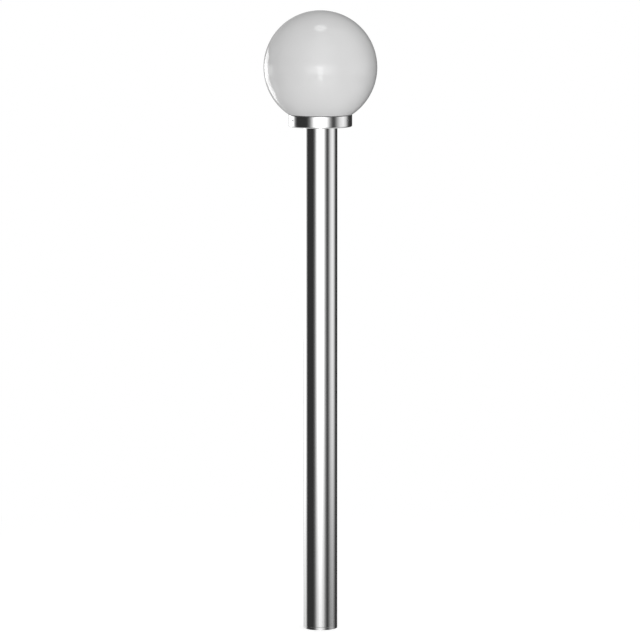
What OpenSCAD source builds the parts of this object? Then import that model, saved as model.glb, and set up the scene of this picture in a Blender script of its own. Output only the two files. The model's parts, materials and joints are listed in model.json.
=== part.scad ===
// Garden lamp post: a round steel post with a spun collar and an opal globe.
// Millimetres. The origin is at the middle of the foot's underside, +Z is up, and the front faces -Y.

/* [Pole] */
// Outside diameter of the pole tube
pole_d = 60; // [57:0.5:76]
// Wall of the pole tube
pole_wall = 1.2; // [1:0.1:2]
// Length of the pole tube
pole_l = 892; // [400:1:1400]

/* [Foot] */
// Height of the rim that the tube stands on
rim_h = 4; // [3:0.5:8]
// Height of the spigot above the rim
spigot_h = 36; // [30:1:80]
// Wall of the spigot
spigot_wall = 4; // [3:0.25:5]
// Thickness of the foot's floor
foot_floor = 6; // [5:0.5:8]
// Diameter of the circle of ground screws
ground_pcd = 38; // [36:0.5:39]
// Diameter of a ground screw's hole
ground_hole_d = 6.6; // [5:0.1:7]
// Height of a foot screw above the tube's lower edge
foot_screw_h = 17; // [10:1:22]
// Diameter of a foot screw
foot_screw_d = 5; // [4:1:6]
// Thickness of a rib inside the spigot
rib_t = 3; // [2:0.5:4]
// Height of a rib above the foot's floor
rib_h = 8.5; // [4:0.5:12]
// How far the pad round a foot screw stands inside the spigot
pad_out = 2; // [1:0.5:3]
// Wall of the pad round a foot screw
pad_wall = 2.5; // [2:0.5:4]

/* [Collar] */
// Outside diameter of the collar
collar_d = 112; // [108:1:125]
// Height of the collar
collar_h = 20.5; // [20:0.5:30]
// Sheet thickness of the collar
collar_wall = 1.5; // [1:0.1:1.8]
// Outside radius of the collar's lower edge
collar_edge_r = 2.2; // [2:0.1:4]

/* [Globe] */
// Outside diameter of the globe
globe_d = 200; // [180:1:250]
// Wall of the globe
globe_wall = 2.5; // [2:0.1:3]
// How far the globe's shoulder stands out past the collar
globe_lip = 0.6; // [0.2:0.1:1.5]
// Length of the neck below the shoulder
neck_h = 14; // [12:0.5:16]
// How far the bead at the neck's end stands out
bead_out = 0.8; // [0.3:0.1:1]
// Gap between the neck and the collar's wall
neck_gap = 2.5; // [2:0.1:3]
// Thickness of the gasket's flange
gasket_t = 1; // [0.6:0.1:1.5]
// Depth of the gasket's skirt
gasket_skirt = 4.5; // [2:0.5:5]
// How far the gasket's edge stays inside the collar's edge
gasket_inset = 0.8; // [0.5:0.1:1.2]
// Diameter of a globe screw
globe_screw_d = 4; // [3:0.5:4]
// Depth of a globe screw below the collar's rim
globe_screw_drop = 8; // [7.5:0.25:9]

/* [Head plug] */
// Depth of the plug in the tube
plug_h = 18; // [14:1:30]
// Thickness of the plug's top
plug_top = 5; // [4:0.5:8]
// Wall of the plug's skirt
plug_wall = 3; // [2:0.5:4]
// Distance from the tube's inside to the axis of a fixing screw
fixing_inset = 6.8; // [6:0.1:7]
// Depth of the bosses under the fixing screws
plug_boss_h = 16; // [13:0.5:17]
// Diameter of a collar screw
collar_screw_d = 5; // [4:0.5:5]
// Length of a collar screw below its head
collar_screw_l = 14; // [8:1:15]
// Diameter of the earth screw
earth_screw_d = 4; // [3:0.5:4]
// Length of the earth screw below its head
earth_screw_l = 12; // [6:1:14]
// Angle of the earth screw round the axis
earth_angle = 230; // [225:1:240]

/* [Cable entry] */
// Diameter of the supply cable's way through a grommet
cable_d = 9; // [7:0.5:10]
// Wall of a grommet inside its hole
grommet_wall = 2.5; // [2:0.25:3]
// Thickness of a grommet's lip
lip_t = 1.6; // [1:0.1:2]
// Height of a grommet's lip beyond its hole
lip_out = 2; // [1.5:0.1:2.4]
// Thickness of the foot's floor round the cable entry
entry_web = 2; // [1.5:0.1:2.5]

/* [Strap] */
// Sheet thickness of the strap
strap_t = 1.5; // [1:0.1:2]
// Height of the strap's underside above the collar's floor
strap_h = 14; // [13:0.5:16]
// Width of the strap
strap_w = 16; // [14:0.5:17]
// Inside radius of the strap's bends
bend_r = 1; // [0.5:0.1:1.5]
// Width of the wing that carries the terminal block
wing_w = 20; // [18:0.5:20]

/* [Lampholder] */
// Outside diameter of the holder
holder_d = 39; // [38:0.5:41]
// Wall of the holder's shell
holder_wall = 2; // [1.6:0.1:2.2]
// Height of the holder
holder_h = 52; // [50:0.5:56]
// Height of the holder's lower cap
cap_h = 16; // [15:0.5:18]
// Inside diameter of the screw shell
socket_d = 26.8; // [26.7:0.1:27.2]
// Length of the screw shell
socket_l = 22; // [18:1:22]
// Sheet thickness of the screw shell
socket_t = 0.5; // [0.3:0.1:0.6]
// Outside diameter of the nipple
nipple_d = 10; // [9:0.5:11]
// Bore of the nipple
nipple_bore = 7.2; // [6.8:0.1:7.6]
// Width across the flats of the nipple's nut
nut_af = 14; // [13:0.5:15]
// Thickness of the nipple's nut
nut_t = 3; // [2.5:0.25:3.5]
// Thickness of the lock washer
washer_t = 0.8; // [0.5:0.1:1]
// How far the nipple stands out below its nut
nipple_out = 1; // [0.5:0.1:1.5]
// How far the nipple's upper end stays below the bush's top
nipple_short = 1; // [0.5:0.5:2]
// Height of the bush in the holder's cap
bush_h = 9; // [8:0.5:10]

/* [Bulb] */
// Diameter of the bulb's glass
bulb_d = 60; // [55:1:80]
// Length of the bulb
bulb_l = 106; // [100:1:125]
// Diameter of the bulb's metal cap over its thread
bulb_cap_d = 26.2; // [26:0.1:26.4]
// Height of the plain skirt above the thread
skirt_h = 7; // [5:0.5:9]
// Depth of the thread on the bulb's cap
thread_depth = 0.9; // [0.5:0.1:1]
// Pitch of the thread on the bulb's cap
thread_pitch = 3.6; // [3.2:0.1:4]

/* [Terminal block] */
// Gap between the holder and the block
block_gap = 2.8; // [2.6:0.1:3.2]
// Distance between two poles
pole_pitch = 11.5; // [11:0.25:12]
// Width of one pole's tower
tower_w = 7.8; // [7.4:0.1:8]
// Depth of the block
block_d = 17; // [16:0.5:19]
// Height of the block
block_h = 13; // [12:0.5:15]
// Height of the web between two towers
web_h = 5; // [3:0.5:6]
// Height of the wire's way above the block's underside
wire_way_h = 5.5; // [5:0.25:6]
// Outside diameter of a brass clamp
clamp_d = 5.2; // [5:0.1:5.4]
// How far a brass clamp's ends stay inside the block
clamp_inset = 0.5; // [0.2:0.1:1]
// Bore of a brass clamp
clamp_bore = 3.6; // [3.4:0.1:4]
// Diameter of a clamp screw
clamp_screw_d = 3; // [2.5:0.1:3]
// Depth of a clamp screw's top below the tower's top
clamp_screw_drop = 1; // [0.5:0.1:2]
// Depth of a clamp screw's slot
slot_h = 1; // [0.6:0.1:1.2]
// Diameter of a screw that holds the block
block_screw_d = 2.5; // [2:0.1:2.6]
// Length of a screw that holds the block, below its head
block_screw_l = 10; // [9:0.5:12]

/* [Wires] */
// Outside diameter of an inner wire
wire_d = 2.4; // [2:0.1:2.6]
// Sheet thickness of the earth lug
lug_t = 0.8; // [0.6:0.1:0.9]

/* [Hidden] */
$fn = 96;

// Named clearances
press_gap = 0.1;
seat_gap = 0.05;
thread_gap = 0.05;
slip_gap = 0.3;
screw_room = 1.2;
rib_gap = 3;
screw_past = 1;
wire_room = 5;
wire_lift = 0.4;
cut = 1;

pole_r = pole_d / 2;
bore_r = pole_r - pole_wall;
spigot_r = bore_r - press_gap;
plug_r = bore_r - press_gap;
fixing_r = bore_r - fixing_inset;
collar_r = collar_d / 2;
collar_in_r = collar_r - collar_wall;
neck_r = collar_in_r - neck_gap;
globe_r = globe_d / 2;
shoulder_r = collar_r + globe_lip;
shoulder_drop = sqrt(pow(globe_r, 2) - pow(shoulder_r, 2));
holder_r = holder_d / 2;

pole_z = rim_h;
collar_z = pole_z + pole_l;
cup_z = collar_z + collar_wall;
rim_z = collar_z + collar_h;
shoulder_z = rim_z + gasket_t;
globe_z = shoulder_z + shoulder_drop;
deck_z = cup_z + strap_h;
holder_z = deck_z + strap_t;

SCREW_TURNS = [0, 90, 180];
GLOBE_TURNS = [90, 210, 330];
GROUND_TURNS = [30, 150, 270];
RIB_TURNS = [45, 135, 225, 315];
FIXING_TURNS = [0, 180];

// Screw heads, as shares of the screw's own diameter
function head_r(d) = 0.95 * d;
function head_h(d) = 0.6 * d;

module steel() color([0.78, 0.79, 0.80]) children();
module zinc() color([0.66, 0.67, 0.69]) children();
module brass() color([0.80, 0.66, 0.32]) children();
module rubber() color([0.13, 0.13, 0.14]) children();

// Places its children at each angle, at radius r
module at_turns(turns, r = 0) {
    for (turn = turns)
        rotate([0, 0, turn])
            translate([r, 0, 0])
                children();
}

module ring(r_out, r_in, h) {
    difference() {
        cylinder(r = r_out, h = h);
        translate([0, 0, -cut])
            cylinder(r = r_in, h = h + 2 * cut);
    }
}

// Half section of a cup whose lower outside edge has radius edge
module cup_section(r, h, edge) {
    square([r - edge, h]);
    translate([0, edge])
        square([r, h - edge]);
    intersection() {
        translate([r - edge, edge])
            circle(edge);
        square([r, h]);
    }
}

// Pan-head screw: its head sits on z = 0 and its shank goes down by l
module pan_screw(d, l) {
    difference() {
        rotate_extrude()
            union() {
                translate([0, -l])
                    square([d / 2, l]);
                intersection() {
                    square([head_r(d), head_h(d)]);
                    translate([0, head_h(d) - 1.5 * head_r(d)])
                        circle(1.5 * head_r(d));
                }
            }
        translate([0, 0, head_h(d) / 2])
            for (turn = [0, 90])
                rotate([0, 0, turn])
                    translate([-head_r(d) * 0.55, -d * 0.09, 0])
                        cube([head_r(d) * 1.1, d * 0.18, head_h(d)]);
    }
}

// Set screw along +X, from its hexagon socket's face at x = 0 inwards to x = -l
module set_screw(d, l) {
    rotate([0, -90, 0])
        difference() {
            cylinder(d = d, h = l);
            translate([0, 0, -cut])
                cylinder(d = d * 0.55, h = l * 0.45 + cut, $fn = 6);
        }
}

// Rubber grommet whose groove holds a sheet from z = 0 to z = web
module grommet(web) {
    groove_r = cable_d / 2 + grommet_wall;
    rubber()
        difference() {
            union() {
                cylinder(r = groove_r - seat_gap, h = web);
                for (lip_z = [-lip_t, web])
                    translate([0, 0, lip_z])
                        cylinder(r = groove_r + lip_out, h = lip_t);
            }
            translate([0, 0, -lip_t - cut])
                cylinder(d = cable_d, h = web + 2 * (lip_t + cut));
        }
}

grommet_hole_r = cable_d / 2 + grommet_wall;
grommet_room_r = grommet_hole_r + lip_out + slip_gap;
entry_z = (foot_floor - entry_web) / 2;

// Turned foot: rim, spigot, ribs and pads
module foot() {
    spigot_in_r = spigot_r - spigot_wall;
    rib_start = grommet_room_r + rib_gap;
    steel()
        difference() {
            union() {
                cylinder(r = pole_r, h = rim_h);
                cylinder(r = spigot_r, h = foot_floor);
                translate([0, 0, rim_h - cut])
                    ring(spigot_r, spigot_in_r, spigot_h + cut);
                for (turn = RIB_TURNS)
                    rotate([0, 0, turn])
                        translate([rib_start, -rib_t / 2, foot_floor - cut])
                            cube([spigot_in_r + cut - rib_start, rib_t, rib_h + cut]);
                at_turns(SCREW_TURNS)
                    translate([spigot_in_r - pad_out, 0, pole_z + foot_screw_h])
                        rotate([0, 90, 0])
                            cylinder(r = foot_screw_d / 2 + pad_wall, h = spigot_wall / 2 + pad_out);
            }
            at_turns(GROUND_TURNS, ground_pcd / 2)
                translate([0, 0, -cut])
                    cylinder(d = ground_hole_d, h = foot_floor + 2 * cut);
            at_turns(SCREW_TURNS)
                translate([spigot_in_r - pad_out - cut, 0, pole_z + foot_screw_h])
                    rotate([0, 90, 0])
                        cylinder(d = foot_screw_d + 2 * thread_gap, h = spigot_wall + pad_out + 2 * cut);
            translate([0, 0, -cut])
                cylinder(r = grommet_hole_r, h = foot_floor + 2 * cut);
            translate([0, 0, -cut])
                cylinder(r = grommet_room_r, h = entry_z + cut);
            translate([0, 0, entry_z + entry_web])
                cylinder(r = grommet_room_r, h = foot_floor);
        }
}

module foot_grommet() {
    translate([0, 0, entry_z])
        grommet(entry_web);
}

module foot_screws() {
    zinc()
        at_turns(SCREW_TURNS, pole_r)
            translate([0, 0, pole_z + foot_screw_h])
                set_screw(foot_screw_d, pole_wall + press_gap + spigot_wall + screw_past);
}

module pole_tube() {
    steel()
        difference() {
            translate([0, 0, pole_z])
                ring(pole_r, bore_r, pole_l);
            at_turns(SCREW_TURNS)
                translate([bore_r - cut, 0, pole_z + foot_screw_h])
                    rotate([0, 90, 0])
                        cylinder(d = foot_screw_d + 2 * thread_gap, h = pole_wall + 2 * cut);
        }
}

// Cast plug: a top with a skirt, and bosses under the fixing screws
module head_plug() {
    color([0.70, 0.71, 0.72])
        translate([0, 0, collar_z])
            difference() {
                union() {
                    translate([0, 0, -plug_top])
                        cylinder(r = plug_r, h = plug_top);
                    translate([0, 0, -plug_h])
                        ring(plug_r, plug_r - plug_wall, plug_h);
                    intersection() {
                        union() {
                            at_turns(FIXING_TURNS, fixing_r)
                                translate([0, 0, -plug_boss_h])
                                    cylinder(r = collar_screw_d, h = plug_boss_h);
                            at_turns([earth_angle], fixing_r)
                                translate([0, 0, -plug_boss_h])
                                    cylinder(r = earth_screw_d, h = plug_boss_h);
                        }
                        translate([0, 0, -plug_boss_h])
                            cylinder(r = plug_r - plug_wall / 2, h = plug_boss_h);
                    }
                }
                at_turns(FIXING_TURNS, fixing_r)
                    translate([0, 0, -plug_boss_h - cut])
                        cylinder(d = collar_screw_d + 2 * thread_gap, h = plug_boss_h + 2 * cut);
                at_turns([earth_angle], fixing_r)
                    translate([0, 0, -plug_boss_h - cut])
                        cylinder(d = earth_screw_d + 2 * thread_gap, h = plug_boss_h + 2 * cut);
                translate([0, 0, -plug_h - cut])
                    cylinder(r = grommet_room_r, h = plug_h + 2 * cut);
            }
}

// Spun cup that covers the tube's end and carries the globe
module collar() {
    steel()
        translate([0, 0, collar_z])
            difference() {
                rotate_extrude()
                    difference() {
                        cup_section(collar_r, collar_h, collar_edge_r);
                        translate([0, collar_wall])
                            cup_section(collar_in_r, collar_h, collar_edge_r - collar_wall);
                    }
                translate([0, 0, -cut])
                    cylinder(r = grommet_hole_r, h = collar_wall + 2 * cut);
                at_turns(FIXING_TURNS, fixing_r)
                    translate([0, 0, -cut])
                        cylinder(d = collar_screw_d + slip_gap, h = collar_wall + 2 * cut);
                at_turns([earth_angle], fixing_r)
                    translate([0, 0, -cut])
                        cylinder(d = earth_screw_d + slip_gap, h = collar_wall + 2 * cut);
                at_turns(GLOBE_TURNS)
                    translate([collar_in_r - cut, 0, collar_h - globe_screw_drop])
                        rotate([0, 90, 0])
                            cylinder(d = globe_screw_d + 2 * thread_gap, h = collar_wall + 2 * cut);
            }
}

module head_grommet() {
    translate([0, 0, collar_z])
        grommet(collar_wall);
}

module collar_screws() {
    zinc()
        at_turns(FIXING_TURNS, fixing_r)
            translate([0, 0, cup_z + strap_t])
                pan_screw(collar_screw_d, collar_screw_l);
}

// Rubber ring of L section between the globe and the collar's rim
module globe_gasket() {
    rubber()
        translate([0, 0, rim_z]) {
            ring(collar_r - gasket_inset, neck_r + slip_gap, gasket_t);
            translate([0, 0, -gasket_skirt])
                ring(collar_in_r - slip_gap, neck_r + slip_gap, gasket_skirt);
        }
}

module globe_screws() {
    zinc()
        at_turns(GLOBE_TURNS, collar_r)
            translate([0, 0, rim_z - globe_screw_drop])
                set_screw(globe_screw_d, collar_wall + neck_gap - seat_gap);
}

// Filled half section of the globe: a ball cut at its shoulder, and its neck
module globe_section(r, drop, neck, neck_end) {
    intersection() {
        circle(r, $fn = 180);
        translate([0, -drop])
            square([r, r + drop]);
    }
    translate([0, -neck_end])
        square([neck, neck_end]);
}

module globe() {
    neck_end = shoulder_drop + neck_h;
    color([0.93, 0.93, 0.93])
        translate([0, 0, globe_z])
            rotate_extrude($fn = 180)
                difference() {
                    union() {
                        globe_section(globe_r, shoulder_drop, neck_r, neck_end);
                        translate([neck_r + bead_out - globe_wall / 2, -neck_end])
                            circle(globe_wall / 2);
                    }
                    globe_section(
                        globe_r - globe_wall,
                        shoulder_drop - globe_wall,
                        neck_r - globe_wall,
                        neck_end + globe_wall
                    );
                }
}

// Quarter of a sheet bend, round the corner of a quadrant given by its signs
module bend(sx, sz) {
    intersection() {
        difference() {
            circle(bend_r + strap_t);
            circle(bend_r);
        }
        scale([sx, sz])
            square(bend_r + strap_t);
    }
}

block_y = holder_r + block_gap;
block_end = block_y + block_d;
leg_x = fixing_r - head_r(collar_screw_d) - screw_room;
foot_end = fixing_r + collar_screw_d;

// Half section of the strap: foot, leg and half of the deck
module strap_half() {
    top_bend = leg_x - strap_t - bend_r;
    translate([leg_x + bend_r, 0])
        square([foot_end - leg_x - bend_r, strap_t]);
    translate([leg_x + bend_r, strap_t + bend_r])
        bend(-1, -1);
    translate([leg_x - strap_t, strap_t + bend_r])
        square([strap_t, strap_h - strap_t - 2 * bend_r]);
    translate([top_bend, strap_h - bend_r])
        bend(1, 1);
    translate([-cut, strap_h])
        square([top_bend + cut, strap_t]);
}

module strap() {
    steel()
        difference() {
            union() {
                translate([0, 0, cup_z])
                    rotate([90, 0, 0])
                        linear_extrude(strap_w, center = true) {
                            strap_half();
                            mirror([1, 0])
                                strap_half();
                        }
                translate([-wing_w / 2, strap_w / 2 - cut, deck_z])
                    cube([wing_w, block_end - strap_w / 2 + cut, strap_t]);
            }
            at_turns(FIXING_TURNS, fixing_r)
                translate([0, 0, cup_z - cut])
                    cylinder(d = collar_screw_d + slip_gap, h = strap_t + 2 * cut);
            translate([0, 0, deck_z - cut])
                cylinder(d = nipple_d + slip_gap, h = strap_t + 2 * cut);
            for (side = [-1, 1])
                translate([side * pole_pitch / 2, block_y + block_d / 2, deck_z - cut])
                    cylinder(d = block_screw_d + slip_gap, h = strap_t + 2 * cut);
        }
}

nipple_end = deck_z - washer_t - nut_t - nipple_out;

module nipple() {
    brass()
        translate([0, 0, nipple_end])
            ring(nipple_d / 2, nipple_bore / 2, holder_z + bush_h - nipple_short - nipple_end);
}

// Washer with inward teeth, left between eight notches
module lock_washer() {
    tooth_in = nipple_d / 2 + seat_gap;
    notch_w = 1.2;
    notch_h = 0.9;
    zinc()
        translate([0, 0, deck_z - washer_t])
            difference() {
                ring(nut_af / 2, tooth_in, washer_t);
                for (turn = [0:45:315])
                    rotate([0, 0, turn])
                        translate([0, -notch_w / 2, -cut])
                            cube([tooth_in + notch_h, notch_w, washer_t + 2 * cut]);
            }
}

module nipple_nut() {
    zinc()
        translate([0, 0, deck_z - washer_t - nut_t])
            difference() {
                cylinder(r = nut_af / sqrt(3), h = nut_t, $fn = 6);
                translate([0, 0, -cut])
                    cylinder(r = nipple_d / 2 + thread_gap, h = nut_t + 2 * cut);
            }
}

// Lampholder: its cap ends in a spigot, on which the shell and the ceramic insert seat
spigot_up = 6;
spigot_t = 2;
bush_wall = 3;
spigot_top = cap_h + spigot_up;
spigot_out = holder_r - holder_wall - 0.5;
spigot_in = spigot_out - spigot_t;
cap_edge_r = 11;
flange_t = 4;
boss_h = 5;
ledge_t = 2;
ledge_room = 1;
socket_r = socket_d / 2;
boss_r = socket_r - 0.6;
contact_r = 6.5;
wire_hole_y = 4.5;
contact_screw_d = 2;
contact_screw_l = 6;

// Dome of the lampholder, with the bush that the nipple screws into
module holder_cap() {
    color([0.92, 0.92, 0.90])
        translate([0, 0, holder_z])
            rotate_extrude()
                difference() {
                    union() {
                        difference() {
                            cup_section(holder_r, cap_h, cap_edge_r);
                            translate([0, holder_wall])
                                cup_section(holder_r - holder_wall, cap_h, cap_edge_r - holder_wall);
                        }
                        square([nipple_d / 2 + bush_wall, bush_h]);
                        translate([spigot_in, cap_h - spigot_t])
                            square([holder_r - holder_wall - spigot_in + seat_gap, spigot_t]);
                        translate([spigot_in, cap_h - spigot_t])
                            square([spigot_t, spigot_up + spigot_t]);
                    }
                    translate([0, -cut])
                        square([nipple_d / 2 + thread_gap, bush_h + 2 * cut]);
                }
}

// Skirt of the lampholder, with the ledge that clamps the ceramic insert and a rim at its mouth
module holder_shell() {
    mouth_r = 1.5;
    shell_h = holder_h - cap_h;
    ledge_z = spigot_up + flange_t;
    color([0.92, 0.92, 0.90])
        translate([0, 0, holder_z + cap_h])
            rotate_extrude()
                difference() {
                    translate([0, shell_h])
                        scale([1, -1])
                            cup_section(holder_r, shell_h, mouth_r);
                    square([spigot_out + press_gap, ledge_z]);
                    translate([0, ledge_z])
                        square([socket_r + socket_t + ledge_room, ledge_t + cut / 2]);
                    translate([0, ledge_z + ledge_t])
                        square([spigot_out + press_gap, shell_h - ledge_z - 2 * ledge_t]);
                    square([socket_r + ledge_room, holder_h]);
                }
}

// Ceramic insert: flange, boss, and its wire and screw holes
module contact_block() {
    color([0.96, 0.95, 0.92])
        translate([0, 0, holder_z + spigot_top])
            difference() {
                union() {
                    cylinder(r = spigot_out, h = flange_t);
                    cylinder(r = boss_r, h = flange_t + boss_h);
                }
                for (side = [-1, 1])
                    translate([side * contact_r, 0, -cut])
                        cylinder(d = contact_screw_d + 2 * thread_gap, h = flange_t + boss_h + 2 * cut);
                for (side = [-1, 1])
                    translate([side * contact_r, wire_hole_y, -cut])
                        cylinder(d = wire_d + 2 * slip_gap, h = flange_t + cut);
            }
}

socket_z = holder_z + spigot_top + flange_t;
boss_top = socket_z + boss_h;
tip_rise = 3.5;
tip_z = boss_top + tip_rise;
cone_h = 6;

// One side of a rolled thread as a wavy line, from crest radius r down to r - depth, over n turns
function thread_line(r, depth, n, steps = 6) = [
    for (i = [0:n * steps])
        [r - depth * (1 - cos(360 * i / steps)) / 2, i * thread_pitch / steps]
];

module screw_shell() {
    // The first crest lies a whole number of turns below the bulb's first crest, so that the two threads mesh
    crest = tip_z + cone_h - socket_z;
    plain = crest - floor((crest - boss_h) / thread_pitch) * thread_pitch;
    turns = floor((socket_l - plain) / thread_pitch);
    thread = [for (p = thread_line(socket_r, thread_depth, turns)) [p[0], p[1] + plain]];
    inside = concat([[socket_r, 0]], thread, [[socket_r, socket_l]]);
    outside = [for (i = [len(inside) - 1:-1:0]) [inside[i][0] + socket_t, inside[i][1]]];
    brass()
        translate([0, 0, socket_z])
            rotate_extrude()
                polygon(concat(inside, outside));
}

contact_t = 0.4;

// A contact folded from strip 4 mm wide, given by its side outline, with the hole for its screw
module contact_strip() {
    strip_w = 4;
    brass()
        difference() {
            rotate([90, 0, 0])
                linear_extrude(strip_w, center = true)
                    children();
            translate([0, 0, -cut])
                cylinder(d = contact_screw_d + slip_gap, h = contact_t + 2 * cut);
        }
}

// Bronze spring: a flat foot under its screw, and a raised tongue under the bulb's tip
module centre_contact() {
    rise = tip_rise - contact_t - seat_gap;
    translate([-contact_r, 0, boss_top])
        contact_strip()
            polygon([
                [-2.5, 0],
                [3.3, 0],
                [4.9, rise],
                [contact_r + 2, rise],
                [contact_r + 2, rise + contact_t],
                [4.6, rise + contact_t],
                [3, contact_t],
                [-2.5, contact_t]
            ]);
}

// Flat foot under its screw, and a tab that stands against the screw shell
module side_contact() {
    reach = socket_r - thread_depth - contact_r - slip_gap;
    tab_h = 3;
    translate([contact_r, 0, boss_top])
        contact_strip()
            polygon([
                [-2.5, 0],
                [reach, 0],
                [reach, tab_h],
                [reach - contact_t, tab_h],
                [reach - contact_t, contact_t],
                [-2.5, contact_t]
            ]);
}

module contact_screws() {
    zinc()
        for (side = [-1, 1])
            translate([side * contact_r, 0, boss_top + contact_t])
                pan_screw(contact_screw_d, contact_screw_l);
}

// Sealed bulb in one solid: contact, insulating cone, threaded cap, neck and glass
module bulb() {
    glass_r = bulb_d / 2;
    cap_r = bulb_cap_d / 2;
    tip_r = 4.5;
    cone_z = 1.5;
    thread_turns = 4;
    thread_l = thread_turns * thread_pitch;
    skirt_top = cone_h + thread_l + skirt_h;
    neck = cap_r + 0.9;
    blend_r = 28;
    mid = bulb_l - glass_r;
    blend_x = neck + blend_r;
    blend_y = mid - sqrt(pow(glass_r + blend_r, 2) - pow(blend_x, 2));
    share = glass_r / (glass_r + blend_r);
    color([0.95, 0.95, 0.94])
        translate([0, 0, tip_z])
            rotate_extrude()
                union() {
                    square([tip_r, cone_z + cut / 2]);
                    polygon([
                        [0, cone_z],
                        [tip_r + 0.5, cone_z],
                        [cap_r - thread_depth, cone_h],
                        [0, cone_h]
                    ]);
                    polygon(concat(
                        [[0, cone_h]],
                        [for (p = thread_line(cap_r, thread_depth, thread_turns)) [p[0], p[1] + cone_h]],
                        [[0, cone_h + thread_l]]
                    ));
                    translate([0, cone_h + thread_l])
                        square([cap_r, skirt_h]);
                    translate([0, skirt_top])
                        square([neck, blend_y - skirt_top]);
                    intersection() {
                        translate([0, mid])
                            circle(glass_r);
                        square([glass_r, bulb_l]);
                    }
                    difference() {
                        polygon([
                            [0, blend_y],
                            [blend_x, blend_y],
                            [blend_x * share, mid - (mid - blend_y) * share],
                            [0, mid]
                        ]);
                        translate([blend_x, blend_y])
                            circle(blend_r);
                    }
                }
}

// Places its children at each pole of the terminal block, at the wire's way
module at_poles() {
    for (i = [-1:1])
        translate([i * pole_pitch, block_y + block_d / 2, holder_z + wire_way_h])
            children();
}

module terminal_block() {
    head_room_r = head_r(block_screw_d) + slip_gap;
    color([0.88, 0.88, 0.84])
        difference() {
            translate([0, block_y, holder_z]) {
                translate([-pole_pitch - tower_w / 2, block_d * 0.15, 0])
                    cube([2 * pole_pitch + tower_w, block_d * 0.7, web_h]);
                for (i = [-1:1])
                    translate([i * pole_pitch - tower_w / 2, 0, 0])
                        cube([tower_w, block_d, block_h]);
            }
            at_poles()
                rotate([90, 0, 0])
                    cylinder(d = clamp_d + 2 * seat_gap, h = block_d + 2 * cut, center = true);
            at_poles()
                for (side = [-1, 1])
                    translate([0, side * block_d / 4, 0])
                        cylinder(d = clamp_screw_d + slip_gap, h = block_h);
            for (side = [-1, 1])
                translate([side * pole_pitch / 2, block_y + block_d / 2, holder_z]) {
                    translate([0, 0, -cut])
                        cylinder(d = block_screw_d + slip_gap, h = web_h + 2 * cut);
                    translate([0, 0, web_h])
                        cylinder(r = head_room_r, h = block_h);
                }
        }
}

module terminal_tubes() {
    brass()
        at_poles()
            difference() {
                rotate([90, 0, 0])
                    cylinder(d = clamp_d, h = block_d - 2 * clamp_inset, center = true);
                rotate([90, 0, 0])
                    cylinder(d = clamp_bore, h = block_d + cut, center = true);
                for (side = [-1, 1])
                    translate([0, side * block_d / 4, 0])
                        cylinder(d = clamp_screw_d + 2 * thread_gap, h = clamp_d);
            }
}

// Slotted clamp screws, which stand on the wires and end below the towers' tops
module terminal_screws() {
    screw_l = block_h - wire_way_h - wire_d / 2 - clamp_screw_drop;
    slot_w = 0.2 * clamp_screw_d;
    zinc()
        at_poles()
            for (side = [-1, 1])
                translate([0, side * block_d / 4, wire_d / 2 + seat_gap])
                    difference() {
                        cylinder(d = clamp_screw_d, h = screw_l);
                        translate([-clamp_screw_d, -slot_w / 2, screw_l - slot_h])
                            cube([2 * clamp_screw_d, slot_w, slot_h + cut]);
                    }
}

// Places its children on the axis of each screw that holds the block
module at_block_screws(z) {
    for (side = [-1, 1])
        translate([side * pole_pitch / 2, block_y + block_d / 2, z])
            children();
}

module block_screws() {
    zinc()
        at_block_screws(holder_z + web_h)
            pan_screw(block_screw_d, block_screw_l);
}

module block_nuts() {
    block_nut_t = 0.8 * block_screw_d;
    zinc()
        at_block_screws(deck_z - block_nut_t)
            difference() {
                cylinder(r = block_screw_d * 1.05, h = block_nut_t, $fn = 6);
                translate([0, 0, -cut])
                    cylinder(d = block_screw_d + 2 * thread_gap, h = block_nut_t + 2 * cut);
            }
}

lug_l = 13;
barrel_l = 6;
barrel_r = wire_d / 2 + lug_t;
barrel_z = barrel_r + seat_gap;
lug_end = fixing_r + lug_l;

module earth_lug() {
    eye_r = earth_screw_d;
    zinc()
        rotate([0, 0, earth_angle])
            translate([fixing_r, 0, cup_z])
                difference() {
                    union() {
                        cylinder(r = eye_r, h = lug_t);
                        translate([0, -barrel_r, 0])
                            cube([lug_l - barrel_l + cut, 2 * barrel_r, lug_t]);
                        translate([lug_l - barrel_l, 0, barrel_z])
                            rotate([0, 90, 0])
                                cylinder(r = barrel_r, h = barrel_l);
                    }
                    translate([0, 0, -cut])
                        cylinder(d = earth_screw_d + slip_gap, h = 2 * cut + lug_t);
                    translate([lug_l - barrel_l + cut, 0, barrel_z])
                        rotate([0, 90, 0])
                            cylinder(r = wire_d / 2 + slip_gap / 2, h = barrel_l);
                }
}

module earth_screw() {
    zinc()
        at_turns([earth_angle], fixing_r)
            translate([0, 0, cup_z + lug_t])
                pan_screw(earth_screw_d, earth_screw_l);
}

// Swept wire: Catmull-Rom curve through the points, with rings turned along it as little as they can be
WIRE_SIDES = 8;
WIRE_STEPS = 3;

function curve_at(p, i, t) =
    let (n = len(p) - 1)
    let (a = p[max(i - 1, 0)], b = p[i], c = p[min(i + 1, n)], d = p[min(i + 2, n)])
    0.5 * (2 * b + (c - a) * t + (2 * a - 5 * b + 4 * c - d) * t * t + (3 * b - a - 3 * c + d) * t * t * t);

function smooth(p) = concat(
    [for (i = [0:len(p) - 2]) for (s = [0:WIRE_STEPS - 1]) curve_at(p, i, s / WIRE_STEPS)],
    [p[len(p) - 1]]
);

function unit(v) = v / norm(v);

function tangents(p) =
    let (n = len(p) - 1)
    [for (i = [0:n]) unit(p[min(i + 1, n)] - p[max(i - 1, 0)])];

function carried(t, i, normal) =
    let (next = unit(normal - (normal * t[i]) * t[i]))
    i == len(t) - 1 ? [next] : concat([next], carried(t, i + 1, next));

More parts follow.
